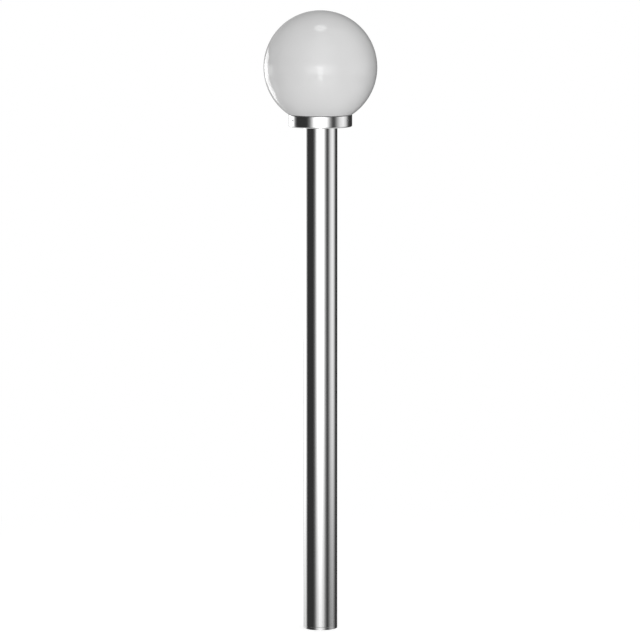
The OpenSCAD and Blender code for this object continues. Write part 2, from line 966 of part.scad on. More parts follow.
module wire(points, side) {
    path = smooth(points);
    along = tangents(path);
    normals = carried(along, 0, side);
    n = len(path);
    skin = [
        for (i = [0:n - 1])
            let (u = normals[i], v = cross(along[i], u))
            for (k = [0:WIRE_SIDES - 1])
                path[i] + wire_d / 2 * (cos(360 * k / WIRE_SIDES) * u + sin(360 * k / WIRE_SIDES) * v)
    ];
    walls = [
        for (i = [0:n - 2])
            for (k = [0:WIRE_SIDES - 1])
                let (a = i * WIRE_SIDES, b = (k + 1) % WIRE_SIDES)
                [a + k, a + WIRE_SIDES + k, a + WIRE_SIDES + b, a + b]
    ];
    first = [for (k = [0:WIRE_SIDES - 1]) k];
    last = [for (k = [WIRE_SIDES - 1:-1:0]) (n - 1) * WIRE_SIDES + k];
    polyhedron(skin, concat(walls, [first], [last]), convexity = 4);
}

// Route of a lamp wire, from the ceramic insert down the nipple and up beside the wing
function lamp_route(side) = [
    [side * contact_r, wire_hole_y, holder_z + spigot_top + 2],
    [side * contact_r, wire_hole_y, holder_z + spigot_top - 3],
    [side * 3.5, 1.5, holder_z + bush_h + 4],
    [side * 1.5, 0, holder_z + bush_h - 2],
    [side * 1.5, 0, deck_z],
    [side * 1.5, 0.2, nipple_end],
    [side * 2.4, 2.5, nipple_end - 3],
    [side * 5.5, 8, nipple_end - 3.6],
    [side * 10, 13, nipple_end - 1.6],
    [side * 12.6, 16, deck_z - 2],
    [side * 12.4, 17.6, holder_z + 2],
    [side * pole_pitch, 20, holder_z + wire_way_h - 0.4],
    [side * pole_pitch, 23.5, holder_z + wire_way_h],
    [side * pole_pitch, 27, holder_z + wire_way_h]
];

// The earth wire leaves the lug, bows round inside the globe's neck and turns into the block's outer end
neck_in_r = neck_r - globe_wall;
bow_r = neck_in_r - wire_room;
loop_r = block_end + 0.64 * (neck_in_r - block_end);
lie_z = wire_d / 2 + wire_lift;
way_z = strap_h + strap_t + wire_way_h;

// A point of the earth wire at radius r and angle a, at height z above the collar's floor
function round_axis(r, a, z) = [r * cos(a), r * sin(a), cup_z + z];

// Radius part of the way from the lug's wire to the bow
function bow_part(share) = lug_end + 2 + share * (bow_r - lug_end - 2);

earth_route = [
    round_axis(lug_end - 4, earth_angle, barrel_z),
    round_axis(lug_end - 1, earth_angle, barrel_z),
    round_axis(lug_end + 2, earth_angle, barrel_z),
    round_axis(bow_part(0.55), 222, lie_z + 0.1),
    round_axis(bow_part(0.9), 207, lie_z),
    round_axis(bow_r, 190, lie_z),
    round_axis(bow_r, 172, lie_z),
    round_axis(bow_r, 154, lie_z + 0.2),
    round_axis(bow_r, 138, lie_z + 0.1 * strap_h),
    round_axis(bow_r, 124, strap_h / 2),
    round_axis((bow_r + loop_r) / 2, 112, strap_h - 1),
    round_axis(loop_r, 103.5, way_z - 2.5),
    round_axis(loop_r, 97, way_z - 0.6),
    [-1.2, (loop_r + 2 * block_end) / 3 + 2.6, cup_z + way_z],
    [0, block_end + 1.2, cup_z + way_z],
    [0, block_end - 1.6, cup_z + way_z],
    [0, block_end - 4.8, cup_z + way_z]
];

module live_wire() {
    color([0.45, 0.28, 0.17])
        wire(lamp_route(-1), [1, 0, 0]);
}

module neutral_wire() {
    color([0.20, 0.38, 0.70])
        wire(lamp_route(1), [1, 0, 0]);
}

module earth_wire() {
    color([0.45, 0.65, 0.22])
        wire(earth_route, [0, 0, 1]);
}

foot();
foot_grommet();
foot_screws();
pole_tube();
head_plug();
collar();
head_grommet();
collar_screws();
globe_gasket();
globe_screws();
globe();
strap();
nipple();
lock_washer();
nipple_nut();
holder_cap();
holder_shell();
contact_block();
screw_shell();
centre_contact();
side_contact();
contact_screws();
bulb();
terminal_block();
terminal_tubes();
terminal_screws();
block_screws();
block_nuts();
earth_lug();
earth_screw();
live_wire();
neutral_wire();
earth_wire();
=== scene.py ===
import json
import math

import bpy
import numpy as np
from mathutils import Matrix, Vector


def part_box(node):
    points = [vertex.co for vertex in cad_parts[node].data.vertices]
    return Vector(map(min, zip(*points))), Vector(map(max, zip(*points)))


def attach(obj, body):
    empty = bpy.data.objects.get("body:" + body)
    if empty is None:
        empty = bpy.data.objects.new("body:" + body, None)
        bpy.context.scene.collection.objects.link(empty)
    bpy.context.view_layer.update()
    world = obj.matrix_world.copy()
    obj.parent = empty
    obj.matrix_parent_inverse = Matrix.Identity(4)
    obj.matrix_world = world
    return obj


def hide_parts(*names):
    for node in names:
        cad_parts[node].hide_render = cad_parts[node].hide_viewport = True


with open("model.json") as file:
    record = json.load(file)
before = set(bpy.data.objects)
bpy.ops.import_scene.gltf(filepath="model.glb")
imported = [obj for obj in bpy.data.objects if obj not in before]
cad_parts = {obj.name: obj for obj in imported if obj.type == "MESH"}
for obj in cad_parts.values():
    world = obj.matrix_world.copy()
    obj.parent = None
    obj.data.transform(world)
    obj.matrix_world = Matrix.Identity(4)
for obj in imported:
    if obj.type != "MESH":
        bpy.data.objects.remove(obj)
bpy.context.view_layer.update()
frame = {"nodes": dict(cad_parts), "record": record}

MM = 0.001
TAU = 2 * math.pi

# Sizes that the frame doesn't give, in millimetres, as in the part's source
TUBE_WALL = 1.2
COLLAR_WALL = 1.5
COLLAR_EDGE = 2.2
GLOBE_WALL = 2.5
GLOBE_LIP = 0.6
GLOBE_BEAD = 0.8
NECK_GAP = 2.5
NECK_LENGTH = 14.0
GROMMET_LIP = 2.0
HOLE_DIAMETER = {"foot_screws": 5.1, "globe_screws": 4.1}
# Angles of the screws round the post, in degrees from +X
SCREW_TURNS = {"foot_screws": (0, 90, 180), "globe_screws": (90, 210, 330)}

# Length of the drill that cuts a screw hole, in millimetres
DRILL_LENGTH = 10.0

# Radii of the small rounded edges, in millimetres
TUBE_EDGE = 0.25
COLLAR_RIM = 0.3
SHOULDER_EDGE = 0.5

# Steps round the turned surfaces and the screw holes, and the angle from which an edge shows as sharp
TURNS = 240
FINE_TURNS = 360
HOLE_SIDES = 48
SHARP_ANGLE = math.radians(32)
# Two points of a profile that are closer than this, in metres, are one
SAME_POINT = 1e-9


def half_width(node):
    """Half of a node's width at rest, which is the radius of a turned one."""
    low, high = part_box(node)
    return (high[0] - low[0]) / 2


def span_z(node):
    """A node's lowest and highest point at rest."""
    low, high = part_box(node)
    return low[2], high[2]


# Turned surfaces

def arc(centre, radius, start, stop, steps):
    """Points centre + radius * (cos a, sin a) in the (r, z) plane, with a from start to stop in degrees."""
    a = np.radians(np.linspace(start, stop, steps))
    return np.stack([centre[0] + radius * np.cos(a), centre[1] + radius * np.sin(a)], 1)


def line(start, stop, steps=2):
    """Points at even steps on the straight line start + t * (stop - start)."""
    t = np.linspace(0, 1, steps)[:, None]
    return np.asarray(start) + t * (np.asarray(stop) - np.asarray(start))


def outline(*pieces):
    """Joins stretches of a profile and drops the points that two stretches share."""
    points = np.concatenate(pieces)
    step = np.linalg.norm(np.diff(points, axis=0), axis=1)
    return points[np.concatenate([[True], step > SAME_POINT])]


def turned(name, profile, turns=TURNS, closed=True):
    """Surface of revolution: point (i, k) is (r_i cos a_k, r_i sin a_k, z_i), with a_k = 2 pi k / turns.

    A closed profile is a loop off the axis, walked with the solid on its left. An open one starts and ends
    on the axis, where its two rings shrink to one point each."""
    rings = profile if closed else profile[1:-1]
    a = TAU * np.arange(turns) / turns
    r, z = rings[:, :1], rings[:, 1:]
    grid = np.stack([r * np.cos(a), r * np.sin(a), z + 0 * a], 2).reshape(-1, 3)
    i, k = np.meshgrid(np.arange(len(rings) - (not closed)), np.arange(turns), indexing="ij")
    below = (i + 1) % len(rings)
    after = (k + 1) % turns
    quads = np.stack([i * turns + k, i * turns + after, below * turns + after, below * turns + k], 2)
    loops = quads.reshape(-1)
    sizes = np.full(quads.shape[0] * quads.shape[1], 4)
    if not closed:
        tips = np.array([[0, 0, profile[0, 1]], [0, 0, profile[-1, 1]]])
        first, last = len(grid), len(grid) + 1
        grid = np.concatenate([grid, tips])
        k = np.arange(turns)
        end = (len(rings) - 1) * turns
        start_fan = np.stack([np.full(turns, first), (k + 1) % turns, k], 1)
        end_fan = np.stack([np.full(turns, last), end + k, end + (k + 1) % turns], 1)
        loops = np.concatenate([loops, start_fan.reshape(-1), end_fan.reshape(-1)])
        sizes = np.concatenate([sizes, np.full(2 * turns, 3)])
    return piece_from(name, grid, loops, sizes)


def piece_from(name, points, loops, sizes):
    """A mesh object at the origin from point, corner and face-size arrays."""
    mesh = bpy.data.meshes.new(name)
    mesh.vertices.add(len(points))
    mesh.vertices.foreach_set("co", np.asarray(points, dtype=np.float32).reshape(-1))
    mesh.loops.add(len(loops))
    mesh.loops.foreach_set("vertex_index", np.asarray(loops, dtype=np.int32))
    mesh.polygons.add(len(sizes))
    starts = np.concatenate([[0], np.cumsum(sizes)[:-1]])
    mesh.polygons.foreach_set("loop_start", starts.astype(np.int32))
    mesh.update(calc_edges=True)
    mesh.validate()
    smooth(mesh)
    piece = bpy.data.objects.new(name, mesh)
    bpy.context.scene.collection.objects.link(piece)
    return piece


def smooth(mesh):
    """Shades a mesh smooth except across its sharp edges."""
    mesh.polygons.foreach_set("use_smooth", np.ones(len(mesh.polygons), dtype=bool))
    mesh.set_sharp_from_angle(angle=SHARP_ANGLE)


def drilled(piece, node, radius):
    """Cuts a round hole through the wall for each screw of a node, at that node's height."""
    low, high = span_z(node)
    bpy.context.view_layer.update()
    for turn in SCREW_TURNS[node]:
        angle = math.radians(turn)
        bpy.ops.mesh.primitive_cylinder_add(
            vertices=HOLE_SIDES, radius=HOLE_DIAMETER[node] / 2 * MM, depth=DRILL_LENGTH * MM,
            location=(radius * math.cos(angle), radius * math.sin(angle), (low + high) / 2),
            rotation=(0, math.pi / 2, angle),
        )
        drill = bpy.context.object
        cut = piece.modifiers.new("hole", "BOOLEAN")
        cut.operation = "DIFFERENCE"
        cut.solver = "EXACT"
        cut.object = drill
        bpy.context.view_layer.objects.active = piece
        bpy.ops.object.modifier_apply(modifier=cut.name)
        bpy.data.objects.remove(drill)
    smooth(piece.data)
    return piece


def make_pole():
    """Straight tube with broken edges. Its rings stand closer at both ends, for the holes and the shading."""
    radius = half_width("pole_tube")
    bore = radius - TUBE_WALL * MM
    low, high = span_z("pole_tube")
    soft = TUBE_EDGE * MM
    under_edge = high - 1 * MM
    over_screws = low + 40 * MM
    over_edge = low + 2 * MM
    profile = outline(
        arc((radius - soft, high - soft), soft, 90, 0, 4),
        line((radius, high - soft), (radius, under_edge), 3),
        line((radius, under_edge), (radius, over_screws), 30),
        line((radius, over_screws), (radius, over_edge), 40),
        arc((radius - soft, low + soft), soft, 0, -90, 4),
        line((bore, low), (bore, over_screws), 20),
        line((bore, over_screws), (bore, high), 10),
    )
    tube = turned("pole_skin", profile)
    return drilled(tube, "foot_screws", radius)


def make_collar():
    """Spun cup: broken rim, straight wall, rolled lower edge and flat floor, all of one sheet thickness."""
    radius = half_width("collar")
    low, high = span_z("collar")
    wall, edge, soft = COLLAR_WALL * MM, COLLAR_EDGE * MM, COLLAR_RIM * MM
    hole = half_width("head_grommet") - GROMMET_LIP * MM
    inner_edge = edge - wall
    profile = outline(
        arc((radius - soft, high - soft), soft, 90, 0, 5),
        line((radius, high - soft), (radius, low + edge), 14),
        arc((radius - edge, low + edge), edge, 0, -90, 14),
        line((radius - edge, low), (hole, low), 8),
        line((hole, low), (hole, low + wall)),
        line((hole, low + wall), (radius - wall - inner_edge, low + wall), 8),
        arc((radius - wall - inner_edge, low + wall + inner_edge), inner_edge, -90, 0, 6),
        line((radius - wall, low + wall + inner_edge), (radius - wall, high - soft), 14),
        arc((radius - wall + soft, high - soft), soft, 180, 90, 5),
    )
    cup = turned("collar_skin", profile, FINE_TURNS)
    return drilled(cup, "globe_screws", radius)


def make_globe():
    """Blown globe: a ball down to its shoulder, a flat shoulder, a neck with a bead, and the same inside."""
    # The node's box falls a little short of the ball, because its mesh has flat facets: rounding mends it
    radius = round(half_width("globe") / MM, 1) * MM
    centre = round(span_z("globe")[1] / MM, 0) * MM - radius
    wall, soft = GLOBE_WALL * MM, SHOULDER_EDGE * MM
    collar_radius = half_width("collar")
    shoulder = collar_radius + GLOBE_LIP * MM
    drop = math.sqrt(radius ** 2 - shoulder ** 2)
    neck = collar_radius - (COLLAR_WALL + NECK_GAP) * MM
    end = centre - drop - NECK_LENGTH * MM
    inner = radius - wall
    inner_drop = drop - wall
    inner_shoulder = math.sqrt(inner ** 2 - inner_drop ** 2)
    low_angle = -math.degrees(math.asin(drop / radius))
    inner_angle = -math.degrees(math.asin(inner_drop / inner))
    bead = wall / 2
    bead_x = neck + GLOBE_BEAD * MM - bead
    profile = outline(
        arc((0, centre), radius, 90, low_angle, 150),
        line((shoulder, centre - drop), (neck + soft, centre - drop), 6),
        arc((neck + soft, centre - drop - soft), soft, 90, 180, 5),
        line((neck, centre - drop - soft), (neck, end + bead), 8),
        arc((bead_x, end), bead, 40, -180, 22),
        line((neck - wall, end), (neck - wall, centre - inner_drop - soft), 8),
        arc((neck - wall + soft, centre - inner_drop - soft), soft, 180, 90, 5),
        line((neck - wall + soft, centre - inner_drop), (inner_shoulder, centre - inner_drop), 6),
        arc((0, centre), inner, inner_angle, 90, 90),
    )
    profile[0, 0] = profile[-1, 0] = 0
    return turned("globe_skin", profile, FINE_TURNS, closed=False)


# Shader node groups

def new_group(name, inputs, outputs):
    """An empty shader group with float inputs (name, default) and outputs (name, socket type)."""
    tree = bpy.data.node_groups.new(name, "ShaderNodeTree")
    for label, value in inputs:
        socket = tree.interface.new_socket(name=label, in_out="INPUT", socket_type="NodeSocketFloat")
        socket.default_value = value
    for label, kind in outputs:
        tree.interface.new_socket(name=label, in_out="OUTPUT", socket_type=kind)
    return tree, tree.nodes.new("NodeGroupInput"), tree.nodes.new("NodeGroupOutput")


def feed(tree, socket, value):
    """Gives a socket a number, or links another node's output to it."""
    if hasattr(value, "is_output"):
        tree.links.new(value, socket)
    else:
        socket.default_value = value


def math_node(tree, operation, *values):
    """One step of arithmetic on numbers or on other nodes' outputs."""
    node = tree.nodes.new("ShaderNodeMath")
    node.operation = operation
    for socket, value in zip(node.inputs, values):
        feed(tree, socket, value)
    return node.outputs[0]


def noise_node(tree, vector, scale, detail, roughness=0.5):
    """Noise over the piece's own coordinates, mostly from 0.3 to 0.7."""
    node = tree.nodes.new("ShaderNodeTexNoise")
    tree.links.new(vector, node.inputs["Vector"])
    feed(tree, node.inputs["Scale"], scale)
    node.inputs["Detail"].default_value = detail
    node.inputs["Roughness"].default_value = roughness
    return node.outputs["Fac"]


def mix_masks(tree, first, second, share):
    """A share of one mask plus the rest of another."""
    return math_node(
        tree, "ADD",
        math_node(tree, "MULTIPLY", first, share),
        math_node(tree, "MULTIPLY", second, 1 - share),
    )


def stretched(tree, vector, stretch):
    """Coordinates scaled by (x, y, z): a small factor draws the pattern out along that axis."""
    node = tree.nodes.new("ShaderNodeMapping")
    tree.links.new(vector, node.inputs["Vector"])
    node.inputs["Scale"].default_value = stretch
    return node.outputs[0]


# Grinding lines: how much they are drawn out, and the scales and the share of the fine and the broad ones
DRAWN_OUT = 0.004
FINE_LINES = 900
BROAD_LINES = 160
FINE_SHARE = 0.6


def build_brushing(name, stretch):
    """Fine grinding lines: noise drawn out along one direction, as a value from 0 to 1 and a height."""
    tree, source, result = new_group(
        name,
        [("Line scale", 1.0), ("Line depth", 1.0)],
        [("Lines", "NodeSocketFloat"), ("Height", "NodeSocketFloat")],
    )
    place = tree.nodes.new("ShaderNodeTexCoord").outputs["Object"]
    fine = noise_node(tree, stretched(tree, place, stretch), FINE_LINES, 4.0, 0.6)
    broad = noise_node(tree, stretched(tree, place, stretch), BROAD_LINES, 2.0)
    lines = mix_masks(tree, fine, broad, FINE_SHARE)
    scaled = math_node(tree, "MULTIPLY", lines, source.outputs["Line scale"])
    tree.links.new(scaled, result.inputs["Lines"])
    tree.links.new(math_node(tree, "MULTIPLY", scaled, source.outputs["Line depth"]), result.inputs["Height"])
    return tree


def build_handling():
    """Faint broad patches, as fingers and weather leave them, from 0 to 1."""
    tree, source, result = new_group(
        "handling marks",
        [("Patch scale", 12.0)],
        [("Patches", "NodeSocketFloat")],
    )
    place = tree.nodes.new("ShaderNodeTexCoord").outputs["Object"]
    patches = noise_node(tree, place, source.outputs["Patch scale"], 4.0)
    tree.links.new(patches, result.inputs["Patches"])
    return tree


def build_grain():
    """Fine moulded or cast grain: a speckle value from 0 to 1 and a height."""
    tree, source, result = new_group(
        "surface grain",
        [("Grain scale", 600.0), ("Grain depth", 1.0)],
        [("Speckle", "NodeSocketFloat"), ("Height", "NodeSocketFloat")],
    )
    place = tree.nodes.new("ShaderNodeTexCoord").outputs["Object"]
    speckle = noise_node(tree, place, source.outputs["Grain scale"], 6.0)
    tree.links.new(speckle, result.inputs["Speckle"])
    height = math_node(tree, "MULTIPLY", speckle, source.outputs["Grain depth"])
    tree.links.new(height, result.inputs["Height"])
    return tree


ALONG_Z = build_brushing("lengthwise brushing", (1.0, 1.0, DRAWN_OUT))
ROUND_Z = build_brushing("round brushing", (DRAWN_OUT, DRAWN_OUT, 1.0))
HANDLING = build_handling()
GRAIN = build_grain()


# Materials

# Where a noise mask is taken as nothing and as full
MASK_LOW = 0.3
MASK_HIGH = 0.7
# Steel: the share of the lines in its mask, the tone of its streaks, and the strength of its relief and its
# depth in metres
LINES_SHARE = 0.75
STREAK_TONE = 0.95
STEEL_RELIEF = 0.3
LINE_DEPTH = 0.00001
# Other finishes: how far their roughness goes up and down, and the strength of their relief
ROUGHNESS_SPREAD = 0.15
GRAIN_RELIEF = 0.4
ACRYLIC_IOR = 1.49


def new_material(name, color, roughness, metallic=0.0, ior=1.5):
    """A material with its node tree and its Principled shader."""
    material = bpy.data.materials.new(name)
    material.use_nodes = True
    tree = material.node_tree
    shader = tree.nodes["Principled BSDF"]
    shader.inputs["Base Color"].default_value = (*color, 1)
    shader.inputs["Roughness"].default_value = roughness
    shader.inputs["Metallic"].default_value = metallic
    shader.inputs["IOR"].default_value = ior
    return material, tree, shader


def place_group(tree, group, **values):
    """Places a shader group, and sets the inputs that are named with _ for a space."""
    node = tree.nodes.new("ShaderNodeGroup")
    node.node_tree = group
    for label, value in values.items():
        node.inputs[label.replace("_", " ")].default_value = value
    return node


def vary(tree, value, low, high, target):
    """Turns a mask into a number from low to high and links it to a socket."""
    node = tree.nodes.new("ShaderNodeMapRange")
    tree.links.new(value, node.inputs["Value"])
    node.inputs["From Min"].default_value = MASK_LOW
    node.inputs["From Max"].default_value = MASK_HIGH
    node.inputs["To Min"].default_value = low
    node.inputs["To Max"].default_value = high
    tree.links.new(node.outputs[0], target)


def tint(tree, value, dark, light, target):
    """Mixes two close colours by a mask and links them to a colour socket."""
    ramp = tree.nodes.new("ShaderNodeValToRGB")
    tree.links.new(value, ramp.inputs[0])
    for element, position, color in zip(ramp.color_ramp.elements, (MASK_LOW, MASK_HIGH), (dark, light)):
        element.position = position
        element.color = (*color, 1)
    tree.links.new(ramp.outputs[0], target)


def bump(tree, height, distance, shader, strength):
    """Relief from a height mask, with its depth in metres."""
    node = tree.nodes.new("ShaderNodeBump")
    node.inputs["Strength"].default_value = strength
    node.inputs["Distance"].default_value = distance
    tree.links.new(height, node.inputs["Height"])
    tree.links.new(node.outputs[0], shader.inputs["Normal"])


def brushed(name, group, color, low, high):
    """Polished stainless steel with fine lines and faint marks."""
    material, tree, shader = new_material(name, color, low, metallic=1.0)
    lines = place_group(tree, group)
    marks = place_group(tree, HANDLING, Patch_scale=9.0)
    mixed = mix_masks(tree, lines.outputs["Lines"], marks.outputs["Patches"], LINES_SHARE)
    vary(tree, mixed, low, high, shader.inputs["Roughness"])
    shade = tuple(STREAK_TONE * c for c in color)
    tint(tree, mixed, shade, color, shader.inputs["Base Color"])
    bump(tree, lines.outputs["Height"], LINE_DEPTH, shader, STEEL_RELIEF)
    return material


def grained(name, dark, light, roughness, metallic=0.0, scale=600.0, depth=0.00005, coat=0.0):
    """Moulded, cast or plated finish: two close tones and a fine relief."""
    material, tree, shader = new_material(name, light, roughness, metallic)
    speckle = place_group(tree, GRAIN, Grain_scale=scale)
    tint(tree, speckle.outputs["Speckle"], dark, light, shader.inputs["Base Color"])
    low, high = roughness * (1 - ROUGHNESS_SPREAD), roughness * (1 + ROUGHNESS_SPREAD)
    vary(tree, speckle.outputs["Speckle"], low, high, shader.inputs["Roughness"])
    bump(tree, speckle.outputs["Height"], depth, shader, GRAIN_RELIEF)
    shader.inputs["Coat Weight"].default_value = coat
    return material


def opal(name):
    """Glossy opal acrylic: an even milky body under a hard clear gloss, with faint patches in both."""
    milk, shade = (0.80, 0.80, 0.80), (0.785, 0.785, 0.785)
    material, tree, shader = new_material(name, milk, 0.05, ior=ACRYLIC_IOR)
    marks = place_group(tree, HANDLING, Patch_scale=14.0)
    tint(tree, marks.outputs["Patches"], shade, milk, shader.inputs["Base Color"])
    vary(tree, marks.outputs["Patches"], 0.04, 0.06, shader.inputs["Roughness"])
    return material


def wire_cover(name, dark, light):
    """Extruded wire insulation."""
    return grained(name, dark, light, 0.4, scale=250.0, depth=0.00002)


STEEL = (0.70, 0.70, 0.70)
POLE_STEEL = brushed("polished pole steel", ALONG_Z, STEEL, 0.10, 0.16)
COLLAR_STEEL = brushed("spun collar steel", ROUND_Z, STEEL, 0.10, 0.17)
FINISHES = {
    "polished_steel": COLLAR_STEEL,
    "cast_foot": brushed("turned foot steel", ROUND_Z, STEEL, 0.12, 0.2),
    "cast_alloy": grained(
        "cast alloy", (0.42, 0.43, 0.44), (0.56, 0.57, 0.58), 0.5, 1.0, scale=300.0, depth=0.0002
    ),
    "zinc_steel": grained("zinc plate", (0.52, 0.53, 0.55), (0.66, 0.67, 0.69), 0.3, 1.0, scale=500.0),
    "opal": opal("opal acrylic"),
    "black_rubber": grained("black rubber", (0.022, 0.022, 0.023), (0.04, 0.04, 0.041), 0.7, scale=900.0),
    "brass": grained("brass", (0.62, 0.45, 0.16), (0.78, 0.60, 0.26), 0.28, 1.0, scale=350.0),
    "white_plastic": grained("white moulded plastic", (0.74, 0.74, 0.72), (0.80, 0.80, 0.78), 0.35),
    "ceramic": grained("glazed ceramic", (0.78, 0.77, 0.73), (0.85, 0.84, 0.80), 0.15, scale=150.0, coat=0.4),
    "bulb_glass": grained("frosted bulb", (0.82, 0.82, 0.80), (0.88, 0.88, 0.86), 0.3, scale=900.0),
    "terminal_plastic": grained("natural plastic", (0.70, 0.69, 0.63), (0.78, 0.77, 0.72), 0.45),
    "brown_wire": wire_cover("brown wire", (0.13, 0.06, 0.03), (0.19, 0.09, 0.045)),
    "blue_wire": wire_cover("blue wire", (0.03, 0.11, 0.36), (0.05, 0.15, 0.46)),
    "green_yellow_wire": wire_cover("green and yellow wire", (0.10, 0.30, 0.05), (0.62, 0.58, 0.06)),
}


def dress(piece, material):
    """Gives a piece one material."""
    piece.data.materials.clear()
    piece.data.materials.append(material)


slot_of = {part["node"]: part["material_slot"] for part in frame["record"]["subparts"]}
for node, part in frame["nodes"].items():
    for holder in part.material_slots:
        holder.material = FINISHES[slot_of[node]]

for node, make, material in (
    ("pole_tube", make_pole, POLE_STEEL),
    ("collar", make_collar, COLLAR_STEEL),
    ("globe", make_globe, FINISHES["opal"]),
):
    skin = make()
    dress(skin, material)
    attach(skin, "root")
    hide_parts(node)


# Studio

def ramp_of(tree, value, stops, half_range):
    """Level from stops of (degrees, level), with straight lines between them.

    The value goes from 0 at -half_range degrees to 1 at +half_range."""
    ramp = tree.nodes.new("ShaderNodeValToRGB")
    tree.links.new(value, ramp.inputs[0])
    elements = ramp.color_ramp.elements
    while len(elements) < len(stops):
        elements.new(0.5)
    for element, (degrees, level) in zip(elements, stops):
        element.position = degrees / (2 * half_range) + 0.5
        element.color = (level, level, level, 1)
    return ramp.outputs[0]


# Studio panels as the polished post shows them: azimuth from the front towards +X in degrees, and level
DARK = 0.045
LEFT_PANEL = [
    (-176, 0), (-166, 0.1), (-152, 1.1), (-140, 1.3), (-117, 1.25), (-105, 0.25), (-99, 0.12), (-96, 0),
]
FRONT_PANEL = [
    (-50, 0), (-40, 0.16), (-34, 0.54), (-27, 1.12), (-21, 1.85), (-14, 2.1), (-8, 2.7), (8, 2.7), (14, 2.1),
    (20, 1.95), (24, 1.4), (28, 1.1), (33, 0.62), (39.5, 0.24), (45, 0.06), (54, 0),
]
RIGHT_PANEL = [
    (48, 0), (54, 0.07), (63, 0.455), (76, 1.025), (92, 1.255), (107, 0.775), (119, 0.12), (130, 0),
]
BACK_PANEL = [(-180, 0.3), (-150, 0.5), (-115, 0.4), (-104, 0), (168, 0), (180, 0.3)]
# How much of each panel shows at each height above the horizon, in degrees: they dim towards the floor
LEFT_HEIGHTS = [(-38, 0), (-28, 0.4), (-16, 0.4), (-11.2, 0.25), (-9.7, 0.75), (-8.2, 1), (-1.5, 1), (1.5, 0)]
FRONT_HEIGHTS = [
    (-45, 0), (-30, 0.35), (-20, 0.3), (-14, 0.22), (-11.2, 0.36), (-9.7, 0.64), (-8.2, 0.96), (-6.5, 1),
    (4, 1), (11, 0.3), (14, 0.22), (50, 0.2), (90, 0.15),
]
RIGHT_HEIGHTS = [
    (-45, 0.2), (-25, 0.6), (-15, 0.3), (-11.2, 0.17), (-9.7, 0.6), (-8.2, 0.96), (-6.5, 1), (4, 1),
    (14, 0.4), (90, 0.3),
]
BACK_HEIGHTS = [(-30, 0), (-24, 1), (14, 1), (24, 0.35), (45, 0.05)]
GROUND_HEIGHTS = [(-90, 0.7), (-60, 0.8), (-40, 0.45), (-27, 0.2), (-22, 0)]
PANEL_PAIRS = [
    (LEFT_PANEL, LEFT_HEIGHTS), (FRONT_PANEL, FRONT_HEIGHTS), (RIGHT_PANEL, RIGHT_HEIGHTS),
    (BACK_PANEL, BACK_HEIGHTS),
]
# Spot that gloss shows straight overhead: where it stops, in degrees, and its level
UP = (0.0, 0.0, 1.0)
OVERHEAD_SPREAD = 11.0
OVERHEAD_LEVEL = 2.8
# Even light of the room on what isn't a mirror
FILL = 0.34
# A Mix node's colour inputs A and B, and its colour output, by number because their names repeat
MIX_A = 6
MIX_B = 7
MIX_RESULT = 2


def make_world():
    """White backdrop for the camera, banded studio panels for reflections, and even fill for the rest."""
    world = bpy.data.worlds.new("studio")
    bpy.context.scene.world = world
    world.use_nodes = True
    tree = world.node_tree
    background = tree.nodes["Background"]
    place = tree.nodes.new("ShaderNodeTexCoord").outputs["Generated"]
    split = tree.nodes.new("ShaderNodeSeparateXYZ")
    tree.links.new(place, split.inputs[0])
    x, y, z = split.outputs
    azimuth = math_node(tree, "ARCTAN2", x, math_node(tree, "MULTIPLY", y, -1.0))
    turn = math_node(tree, "ADD", math_node(tree, "DIVIDE", azimuth, TAU), 0.5)
    height = math_node(tree, "ADD", math_node(tree, "DIVIDE", math_node(tree, "ARCSINE", z), math.pi), 0.5)
    studio = math_node(tree, "ADD", ramp_of(tree, height, GROUND_HEIGHTS, 90), DARK)
    for panel, heights in PANEL_PAIRS:
        shown_part = math_node(
            tree, "MULTIPLY", ramp_of(tree, turn, panel, 180), ramp_of(tree, height, heights, 90)
        )
        studio = math_node(tree, "ADD", studio, shown_part)
    toward = tree.nodes.new("ShaderNodeVectorMath")
    toward.operation = "DOT_PRODUCT"
    tree.links.new(place, toward.inputs[0])
    toward.inputs[1].default_value = UP
    above = tree.nodes.new("ShaderNodeMapRange")
    above.interpolation_type = "SMOOTHSTEP"
    tree.links.new(toward.outputs["Value"], above.inputs["Value"])
    above.inputs["From Min"].default_value = math.cos(math.radians(OVERHEAD_SPREAD))
    above.inputs["From Max"].default_value = math.cos(math.radians(OVERHEAD_SPREAD / 2))
    above.inputs["To Max"].default_value = OVERHEAD_LEVEL
    studio = math_node(tree, "ADD", studio, above.outputs[0])
    path = tree.nodes.new("ShaderNodeLightPath")
    seen = math_node(tree, "MAXIMUM", path.outputs["Is Camera Ray"], path.outputs["Is Transmission Ray"])
    fill = tree.nodes.new("ShaderNodeMix")
    fill.data_type = "RGBA"
    fill.inputs[MIX_A].default_value = (FILL, FILL, FILL, 1)
    tree.links.new(path.outputs["Is Glossy Ray"], fill.inputs[0])
    tree.links.new(studio, fill.inputs[MIX_B])
    shown = tree.nodes.new("ShaderNodeMix")
    shown.data_type = "RGBA"
    tree.links.new(seen, shown.inputs[0])
    tree.links.new(fill.outputs[MIX_RESULT], shown.inputs[MIX_A])
    shown.inputs[MIX_B].default_value = (1, 1, 1, 1)
    tree.links.new(shown.outputs[MIX_RESULT], background.inputs["Color"])


def soft_lamp(name, place, aim, size, power, glossy=False):
    """Soft box at a place, turned to a point: it either lights the post or only shows in its gloss."""
    data = bpy.data.lights.new(name, "AREA")
    data.shape = "RECTANGLE"
    data.size, data.size_y = size
    data.energy = power
    lamp = bpy.data.objects.new(name, data)
    bpy.context.scene.collection.objects.link(lamp)
    lamp.location = place
    lamp.rotation_euler = aim_angles(np.asarray(aim, dtype=float) - np.asarray(place, dtype=float))
    lamp.visible_glossy = glossy
    lamp.visible_diffuse = not glossy
    lamp.visible_camera = False


